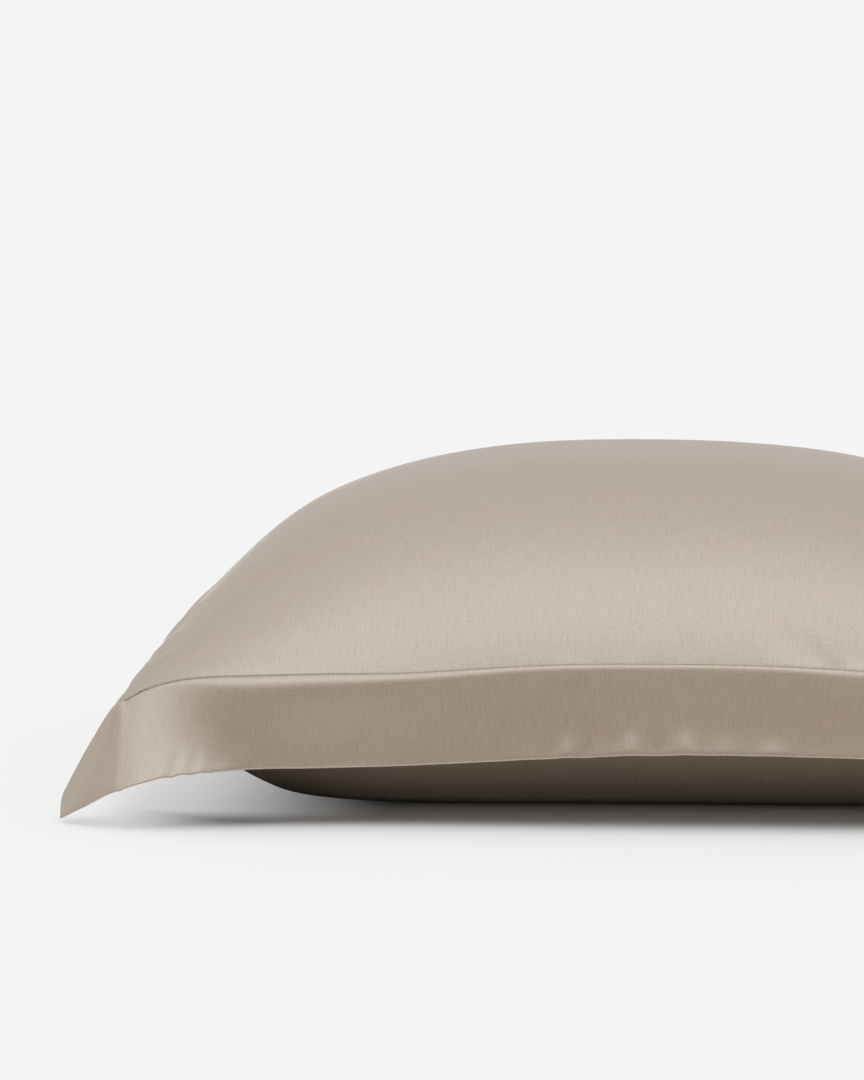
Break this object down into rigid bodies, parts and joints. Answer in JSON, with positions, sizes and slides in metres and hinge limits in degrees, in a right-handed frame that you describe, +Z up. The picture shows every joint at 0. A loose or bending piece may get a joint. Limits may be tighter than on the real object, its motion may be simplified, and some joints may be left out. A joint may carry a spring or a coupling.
{
  "type": "flanged euro sham on its pillow",
  "caption": "Square filled cushion in a satin sham: a smooth crowned pocket edged by a topstitched, drooping double-cloth flange.",
  "frame": {"origin": "on the surface it rests on, below the middle of the sham", "axes": "+Z up through the crown of the front panel; -Y towards the front edge; +X to the right along it"},
  "size_m": [0.6942, 0.6912, 0.2115],
  "materials": {
    "satin": "silk satin, champagne taupe, soft sheen",
    "flange_satin": "the same silk satin, double layer",
    "thread": "matt spun thread, slightly darker and more olive than the satin"
  },
  "bodies": {
    "root": {"pocket": "satin", "flange": "flange_satin"}
  },
  "joints": []
}
